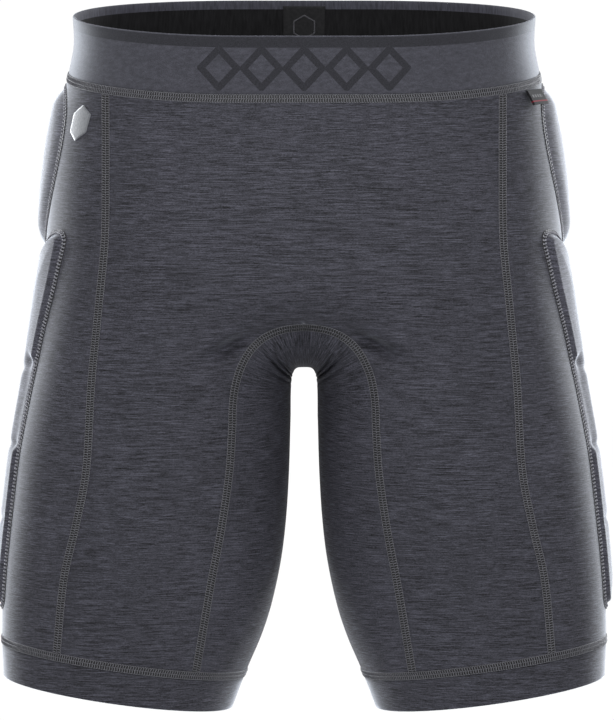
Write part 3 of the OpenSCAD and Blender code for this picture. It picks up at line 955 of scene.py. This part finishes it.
def threads(track, pitch, u0, u1, slant, radius, lift, arch_up, slot=1, knots=5, sides=5, offset=0.0):
    """A row of short threads across the strip from u0 to u1, each a small arched tube."""
    count = int(track.length / pitch)
    start = (np.arange(count) + 0.25 + offset) * (track.length / count)
    t = np.linspace(0, 1, knots)
    s = start[:, None] + slant * t
    u = np.broadcast_to(mix(u0, u1, t), s.shape)
    up = np.broadcast_to(lift + arch_up * np.sin(math.pi * t), s.shape)
    middle = track.at(s, u, up)
    out = track.lookup(track.out, s)
    along = track.at(s + 0.3, u, up) - track.at(s - 0.3, u, up)
    across = track.at(s, u + 0.05, up) - track.at(s, u - 0.05, up)
    run = across * (u1 - u0) * 10 + along * slant
    run = run / (np.linalg.norm(run, axis=-1, keepdims=True) + 1e-9)
    wide = np.cross(out, run)
    a = 2 * math.pi * np.arange(sides) / sides
    tubes = middle[..., None, :] + radius * (
        np.cos(a)[:, None] * wide[..., None, :] + np.sin(a)[:, None] * out[..., None, :]
    )
    one = quads(knots, sides, closed_columns=True)
    each = (np.arange(count) * knots * sides)[:, None, None]
    faces = (one[None] + each).reshape(-1, 4).tolist()
    caps = np.concatenate([np.arange(sides)[None], np.arange(sides)[None] + (knots - 1) * sides])
    faces += (caps[None] + each).reshape(-1, sides).tolist()
    return tubes.reshape(-1, 3), faces, np.full(len(faces), slot)


def flatlock(name, edges, closed=False):
    """A flat seam: two rows of short cross threads over holes whose darkness is painted shade on the strip
    below, held by three running lines.
    """
    track = Track(edges, closed)
    parts = [
        base_strip(track, 2.4, crown=0.12),
        threads(track, PITCH, 0.06, 0.47, 0.25, 0.4, 0.24, 0.26),
        threads(track, PITCH, 0.53, 0.94, -0.25, 0.4, 0.24, 0.26, offset=0.3),
    ]
    for u, lift in ((0.02, 0.1), (0.5, 0.34), (0.98, 0.1)):
        parts.append(threads(track, PITCH, u, u + 0.001, 1.5, 0.34, lift, 0.16, knots=4))
    # the strip under the threads takes the near-black painted shade for the holes between them
    return make(name, *join(parts), [PAINTED_GAP_SHADE, THREAD])


def ring_edges(ring, top, low):
    return lambda d: (ring(top, d), ring(low, d))


def side_edges(face, seam, mirror):
    h = np.linspace(PANEL_TOP, PANEL_LOW, 260)

    def edges(d):
        left, right = [face(seam(h) + k * STRIP, h, d) for k in (-1, 1)]
        return (flip(left), flip(right)) if mirror else (left, right)

    return edges


def gusset_edges(face):
    t = np.concatenate([[0], ARCH_T])

    def edges(d):
        lines = []
        for k in (-1, 1):
            x, h = shifted_edge(t, k * STRIP)
            half = face(x, h, d)
            lines.append(np.concatenate([flip(half[:0:-1]), half]))
        return lines

    return edges


def rim_edges(pad, near, far, mirror):
    """The strip just outside a pad's outline, from near to far millimetres out."""
    inner = pad.line(0.0, 1.0)
    tangent = np.roll(inner, -2, 0) - np.roll(inner, 2, 0)
    normal = np.stack([tangent[:, 1], -tangent[:, 0]], -1)
    normal = normal / np.linalg.norm(normal, axis=1, keepdims=True)

    def edges(d):
        left, right = [pad.at(inner + k * normal, d) for k in (near, far)]
        return (flip(left), flip(right)) if mirror else (left, right)

    return edges


def edging(name, pad, mirror):
    """A rope-like bound edge: a raised cord wrapped with threads, and spaced stitches beside it."""
    track = Track(rim_edges(pad, 0.0, 3.6, mirror), closed=True)
    thick = 0.9 if pad.name == "hip" else 1.35
    parts = [
        base_strip(track, 1.6, crown=0.35, sunk=0.9),
        threads(track, 2.5, 0.0, 0.66, 1.0, 0.62, 0.1, thick, knots=7),
        threads(track, 2.5, 0.86, 0.87, 1.3, 0.34, 0.45, 0.2, knots=4),
    ]
    # the strip under the cord and stitches takes the near-black painted shade for the gaps between them
    return make(name, *join(parts), [PAINTED_GAP_SHADE, EDGING])


# ---------------------------------------------------------------- pads and what holds them


def pad_sheet(pad, grow, step):
    rim = pad.line(grow, step)
    flat, faces = fill(rim, step)
    return flat, faces, inside_distance(flat, pad.outline), np.arange(len(rim))


def pad_piece(name, pad, grow, step, top_of, low_of, materials, mirror):
    flat, faces, inside, border = pad_sheet(pad, grow, step)
    top, low = pad.at(flat, top_of(flat, inside)), pad.at(flat, low_of(flat, inside))
    if mirror:
        top, low = flip(top), flip(low)
    return make(name, *patch_solid(top, low, faces, border), materials, crisp=True)


def step_cloth(obj, pins, pressure):
    """Runs the cloth for 20 frames and gives the points where it comes to rest."""
    group = obj.vertex_groups.new(name="sewn")
    group.add([int(i) for i in pins], 1.0, "REPLACE")
    cloth = obj.modifiers.new("cloth", "CLOTH")
    cloth.settings.quality = 8
    cloth.settings.mass = 0.25
    cloth.settings.tension_stiffness = cloth.settings.compression_stiffness = 12
    cloth.settings.shear_stiffness = 4
    cloth.settings.bending_stiffness = 0.4
    cloth.settings.shrink_min = 0.0
    cloth.settings.use_pressure = True
    cloth.settings.uniform_pressure_force = pressure
    cloth.settings.vertex_group_mass = group.name
    cloth.settings.effector_weights.gravity = 0
    cloth.collision_settings.use_collision = False
    cloth.point_cache.frame_start, cloth.point_cache.frame_end = 1, 20
    scene = bpy.context.scene
    for frame_number in range(1, 21):
        scene.frame_set(frame_number)
    done = obj.evaluated_get(bpy.context.evaluated_depsgraph_get()).data
    points = np.empty(len(done.vertices) * 3, np.float32)
    done.vertices.foreach_get("co", points)
    scene.frame_set(1)
    return points.reshape(-1, 3) * 1000.0


def swell(pad):
    """How far the foam pushes each point of the cover out, found by simulating its top sheet."""
    flat, faces, inside, _ = pad_sheet(pad, 0.3, SIM_STEP)
    d = pad.height(flat, np.maximum(inside, 0))
    start, out = pad.at(flat, d), pad.at(flat, d + 1) - pad.at(flat, d)
    obj = make("cover_at_rest", start, faces, np.zeros(len(faces), int), [KNIT_COVER])
    normals = np.array([v.normal for v in obj.data.vertices])
    facing = 1 if np.sum(normals * out) > 0 else -1
    moved = step_cloth(obj, np.nonzero(inside < 2.5)[0], PRESSURE * facing)
    bpy.data.objects.remove(obj)
    rise = np.sum((moved - start) * out, axis=1) / np.sum(out * out, axis=1)
    rise = MOST_RISE * np.tanh(np.maximum(rise, 0) / MOST_RISE)
    tree = KDTree(len(flat))
    for i, p in enumerate(flat):
        tree.insert((p[0], p[1], 0), i)
    tree.balance()

    def at(points):
        found = np.empty(len(points))
        for k, p in enumerate(points):
            near = tree.find_n((p[0], p[1], 0), 5)
            weight = np.array([1 / (n[2] ** 2 + 0.5) for n in near])
            found[k] = np.sum(weight * rise[[n[1] for n in near]]) / weight.sum()
        return found

    return at


def cover(name, pad, mirror):
    """The sewn-down cover: its moulded height plus what the simulated cloth swells by."""

    def top(p, i):
        height = pad.height(p, np.maximum(i, 0))
        return height + pad.swollen(p)

    return pad_piece(name, pad, 0.3, 1.7, top, lambda p, i: top(p, i) - CLOTH, COVER, mirror)


def foam(name, pad, mirror):
    def top(p, i):
        return pad.height(p, i) - CLOTH - 0.4 - 1.2 * (1 - np.clip((i - 3) / 2.5, 0, 1)) ** 2

    def low(p, i):
        return -PAD_SINK + 1.0 * (1 - np.clip((i - 3) / 2.5, 0, 1)) ** 2

    return pad_piece(name, pad, -3.2, 2.4, top, low, [FOAM, FOAM, FOAM], mirror)


def mesh_lining(name, pad, mirror):
    def top(p, i):
        return mix(-CLOTH - 0.3, -PAD_SINK - 0.4, ease((i + 0.6) / 2.0))

    return pad_piece(
        name, pad, 3.2, 2.6, top, lambda p, i: top(p, i) - 0.7, [MESH_CLOTH] * 3, mirror
    )


def fit_pad(pad, tag, mirror):
    """A pad with its cover, edging and lining, each riding where its CAD node does."""
    end = f"_{tag}" if tag else ""
    nodes = {kind: f"{pad.name}_{kind}{end}" for kind in ("cover", "edging", "pad", "lining")}
    top = settle(cover(f"{nodes['cover']}_cloth", pad, mirror), [nodes["cover"]])
    settle(edging(f"{nodes['edging']}_binding", pad, mirror), [nodes["edging"]])
    block = settle(foam(f"{nodes['pad']}_foam", pad, mirror), [nodes["pad"]], nodes["pad"])
    width, length = np.ptp(pad.line(3.0), axis=0) * 0.001
    sheet(top, width, length, [block])
    lining = settle(mesh_lining(f"{nodes['lining']}_mesh", pad, mirror), [nodes["lining"]])
    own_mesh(lining)
    sheet(lining, width, length)


# ---------------------------------------------------------------- labels and the print


def hexagon(radius, turn=0.0):
    a = np.arange(6) * math.pi / 3 + turn
    return np.stack([np.cos(a), np.sin(a)], -1) * radius


def hip_print():
    """A pale hexagon printed on the wearer's right hip."""
    centre = side(np.array(math.radians(61)), np.array(-68.0), 0.0)
    rim = resample(hexagon(12.5, math.pi / 6), 1.0, closed=True)
    flat, faces = fill(rim, 1.2)
    y, z = centre[1] + flat[:, 0] * 0.83, centre[2] + flat[:, 1]
    top, low = flip(on_side(y, z, 0.42)), flip(on_side(y, z, 0.08))
    parts = patch_solid(top, low, faces, np.arange(len(rim)))
    return settle(make("hip_print_film", *parts, [PRINT] * 3), ["hip_print"])


def back_patch():
    """The black woven patch inside the back of the waistband, with a plain hexagon outline."""
    x, h = np.meshgrid(np.linspace(-15, 15, 25), np.linspace(-4, -34, 25))
    ends = (np.abs(x) > 14.4) | (h > -4.6) | (h < -33.4)
    near = -ELASTIC - 0.3
    ground = shell_parts(back(x, h, near), back(x, h, near - 0.55 + 0.2 * ends), {})
    rim = resample(hexagon(9, math.pi / 6), 0.8, closed=True)
    deep = near - 0.75

    def edges(d):
        return [back(rim[:, 0] * k, rim[:, 1] * k - 19, deep - d) for k in (1.0, 0.88)]

    parts = [ground, threads(Track(edges, True), 0.8, 0.0, 1.0, 0.0, 0.3, 0.0, 0.15, slot=3)]
    obj = make("back_patch_woven", *join(parts), [PATCH, PATCH, PATCH, THREAD])
    return settle(obj, ["back_label"])


def side_label():
    """A folded ribbon loop standing off the left hip, swinging from its sewn top edge."""
    joint = next(j for j in frame["joints"] if j["name"] == "side_label_flap")
    pivot = np.array(joint["pos_m"]) * 1000
    run = -np.array(joint["axis"], float)
    run = run / np.linalg.norm(run)
    out = np.array([run[1], -run[0], 0.0])
    lean_angle = math.radians(31)
    down = math.sin(lean_angle) * out - math.cos(lean_angle) * np.array([0, 0, 1.0])
    face = math.cos(lean_angle) * out + math.sin(lean_angle) * np.array([0, 0, 1.0])
    drop, half, thick, wall = 11.6, 13.0, 1.3, 0.42
    v = np.linspace(0.2, drop - 0.6, 16)
    turn = np.linspace(0, math.pi, 7)[1:-1]
    middle = -thick / 2
    path = [(a, -wall / 2) for a in v]
    path += [(drop - 0.6 + 0.6 * math.sin(a), middle + (thick - wall) / 2 * math.cos(a)) for a in turn]
    path += [(a, -thick + wall / 2) for a in v[::-1]]
    path = np.array(path)
    tangent = np.gradient(path, axis=0)
    normal = np.stack([-tangent[:, 1], tangent[:, 0]], -1)
    normal = normal / np.linalg.norm(normal, axis=1, keepdims=True) * wall / 2
    u = np.linspace(-half, half, 22)

    def ribbon(line):
        curl = 0.35 * np.sin((u[None, :] + half) / (2 * half) * math.pi) * (line[:, :1] / drop)
        return (
            pivot
            + u[None, :, None] * run
            + line[:, 0][:, None, None] * down
            + (line[:, 1][:, None] + curl)[..., None] * face
        )

    points, faces, slots = shell_parts(ribbon(path + normal), ribbon(path - normal), {})
    corner = np.stack(np.meshgrid((u + half) * 0.001, path[:, 0] * 0.001), -1).reshape(-1, 2)
    uvs = np.concatenate([corner, corner])[np.asarray(faces)]
    obj = make("side_label_ribbon", points, faces, slots, [LABEL] * 3, uvs)
    return settle(obj, ["side_label"], "side_label")


# ---------------------------------------------------------------- the shorts


def waistband():
    profile = band_profile(0, -BAND + 0.2, ELASTIC, 15, 0.8)

    def slot_of(h, d):
        if d > -ELASTIC / 2:
            return 0
        return 2 if h > -7 else 1

    faces = [ELASTIC_OUT, ELASTIC_IN, ELASTIC_EDGE]
    obj = ring_sweep("waistband_elastic", profile, trunk_ring, faces, slot_of)
    around = arc_length(trunk_ring(-BAND / 2, 0.0), closed=True)[-1]
    return sheet(settle(obj, ["waistband"]), around * 0.001, BAND * 0.001)


def hem_band(tag, ring):
    top = HEM_SEAM - SEAM - GAP
    profile = band_profile(top, -OUTSEAM, 2 * CLOTH, 9, 1.0)
    obj = ring_sweep(
        f"hem_band_{tag}_cloth", profile, ring, PANEL, lambda h, d: 0 if d > -CLOTH else 1
    )
    around = arc_length(ring(-OUTSEAM, 0.0), closed=True)[-1]
    return sheet(settle(obj, [f"hem_band_{tag}"]), around * 0.001, HEM * 0.001)


def build():
    for pad in PADS.values():
        pad.swollen = swell(pad)
    waistband()
    belly, *size = panel("front_panel_cloth", front, front_seam_x)
    sheet(settle(belly, ["front_panel"]), *size)
    rear, *size = panel("back_panel_cloth", back, back_seam_x)
    cut(rear, [cutter(PADS["tail"], False)])
    sheet(settle(rear, ["back_panel"]), *size)
    for tag, mirror in (("left", False), ("right", True)):
        outer, inner = side_grid(0.0), side_grid(-CLOTH)
        size = spans(outer)
        if mirror:
            outer, inner = flip(outer), flip(inner)
        flank = shell(f"side_panel_{tag}_cloth", outer, inner, SIDE)
        flank = cut(flank, [cutter(PADS["hip"], mirror), cutter(PADS["thigh"], mirror)])
        sheet(settle(flank, [f"side_panel_{tag}"]), *size)
        ring = mirrored(leg_ring) if mirror else leg_ring
        hem_band(tag, ring)
        for face, seam, word in ((front, front_seam_x, "front"), (back, back_seam_x, "back")):
            line = flatlock(f"{word}_seam_{tag}_stitches", side_edges(face, seam, mirror))
            settle(line, [f"{word}_seam_{tag}"])
        edges = ring_edges(ring, HEM_SEAM + 0.15, HEM_SEAM - SEAM - 0.15)
        hem = flatlock(f"hem_seam_{tag}_stitches", edges, True)
        settle(hem, [f"hem_seam_{tag}"])
        fit_pad(PADS["hip"], tag, mirror)
        fit_pad(PADS["thigh"], tag, mirror)
    fit_pad(PADS["tail"], "", False)
    outer = gusset_grid(0.0)
    n, m = outer.shape[:2]
    down = arc_length(outer[:, m // 4]) * 0.001
    over = arc_length(outer[n // 2]) * 0.001
    flat = np.stack(np.meshgrid(over, down), -1).reshape(-1, 2)
    cloth = [KNIT_GUSSET, KNIT_INSIDE, KNIT_EDGE]
    crotch = shell("gusset_cloth", outer, gusset_grid(-CLOTH), cloth, flat=flat)
    sheet(settle(crotch, ["gusset"]), *spans(outer))
    for face, word in ((front, "front"), (back, "back")):
        line = flatlock(f"gusset_seam_{word}_stitches", gusset_edges(face))
        settle(line, [f"gusset_seam_{word}"])
    edges = ring_edges(trunk_ring, -BAND + 0.15, -BAND - SEAM - 0.15)
    waist = flatlock("waist_seam_stitches", edges, True)
    settle(waist, ["waist_seam"])
    hip_print()
    back_patch()
    side_label()


build()

# ---------------------------------------------------------------- stage, lights and camera


def floor():
    """A pale round floor below the hems, greyer in the middle: a painted soft shadow under the shorts."""
    radius = np.linspace(0.02, 2.2, 12)
    turn = np.linspace(0, 2 * math.pi, 64, endpoint=False)
    rings = [[(r * math.cos(a), r * math.sin(a), -0.9) for a in turn] for r in radius]
    points = [p for ring in rings for p in ring]
    faces = quads(len(radius), len(turn), closed_columns=True).tolist() + [list(range(len(turn)))[::-1]]
    mesh = bpy.data.meshes.new("floor")
    mesh.from_pydata(points, [], faces)
    s = Shader("floor_paper", roughness=0.9, specular=0.1)
    coords = s.tree.nodes.new("ShaderNodeTexCoord").outputs["Object"]
    away = s.add("ShaderNodeVectorMath", {0: coords, 1: (0, 0, -0.9)}, out=1, operation="DISTANCE")
    share_out = s.math("DIVIDE", away, 2.2)
    # painted shadow: grey under the shorts, fading to near white at the rim
    paper_and_painted_shadow = s.ramp(share_out, (0.0, (0.42,) * 3), (0.45, (0.66,) * 3), (1.0, (0.97,) * 3))
    mesh.materials.append(s.finish(paper_and_painted_shadow))
    obj = bpy.data.objects.new("floor", mesh)
    bpy.context.scene.collection.objects.link(obj)


def soft_light(name, at, to, size, power, color=(1, 1, 1)):
    light = bpy.data.lights.new(name, "AREA")
    light.shape, light.size, light.size_y = "RECTANGLE", size[0], size[1]
    light.energy, light.color = power, color
    obj = bpy.data.objects.new(name, light)
    obj.location = at
    obj.rotation_euler = (Vector(to) - Vector(at)).to_track_quat("-Z", "Y").to_euler()
    bpy.context.scene.collection.objects.link(obj)


def camera():
    aim = Vector((0.0020, 0, -0.2410))
    tilt, distance = math.radians(4.4), 5.2
    data = bpy.data.cameras.new("camera")
    data.lens, data.sensor_width, data.clip_end = 371.4, 36, 30
    obj = bpy.data.objects.new("camera", data)
    obj.location = aim + Vector((0, -math.cos(tilt), math.sin(tilt))) * distance
    obj.rotation_euler = (aim - obj.location).to_track_quat("-Z", "Y").to_euler()
    bpy.context.scene.collection.objects.link(obj)
    bpy.context.scene.camera = obj


floor()
MIDDLE = (0, 0, -0.24)
soft_light("rim_left", (-1.1, 1.2, 0.0), MIDDLE, (0.4, 1.4), 58, (0.94, 0.97, 1.0))
soft_light("rim_right", (1.1, 1.2, 0.0), MIDDLE, (0.4, 1.4), 58, (0.94, 0.97, 1.0))
soft_light("top", (0, -0.3, 1.9), MIDDLE, (1.6, 1.2), 8)
soft_light("front", (0, -0.75, 0.12), (0, 0, -0.19), (0.7, 0.3), 3.2)
world = bpy.data.worlds.new("studio")
world.use_nodes = True
world.node_tree.nodes["Background"].inputs["Color"].default_value = (1.0, 1.0, 1.0, 1)
world.node_tree.nodes["Background"].inputs["Strength"].default_value = 1.02
bpy.context.scene.world = world
bpy.context.scene.view_settings.view_transform = "Standard"
camera()
